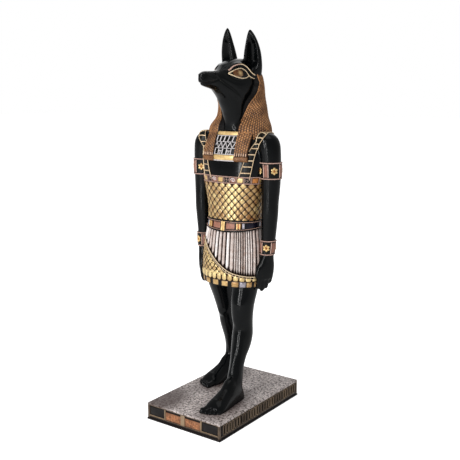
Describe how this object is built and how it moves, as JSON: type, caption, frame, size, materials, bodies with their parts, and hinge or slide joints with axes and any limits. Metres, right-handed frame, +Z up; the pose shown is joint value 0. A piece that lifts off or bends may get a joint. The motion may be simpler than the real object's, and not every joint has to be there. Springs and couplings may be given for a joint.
{
  "type": "jackal-headed figure statuette",
  "caption": "Standing jackal-headed Egyptian figure cast with a beaded wig, scaled corset and pleated kilt, striding on a rectangular plinth.",
  "frame": {"origin": "middle of the plinth's underside", "axes": "+Z up, the figure faces -Y, +X is the figure's left side"},
  "size_m": [0.0834, 0.1126, 0.307],
  "materials": {
    "figure": "cast filled resin, gloss black enamel with gold, bronze, white and pink painted ornament",
    "plinth": "cast filled resin, mottled mauve brown top with rubbed bronze and copper edges"
  },
  "bodies": {
    "root": {"figure": "figure", "plinth": "plinth"}
  },
  "joints": []
}
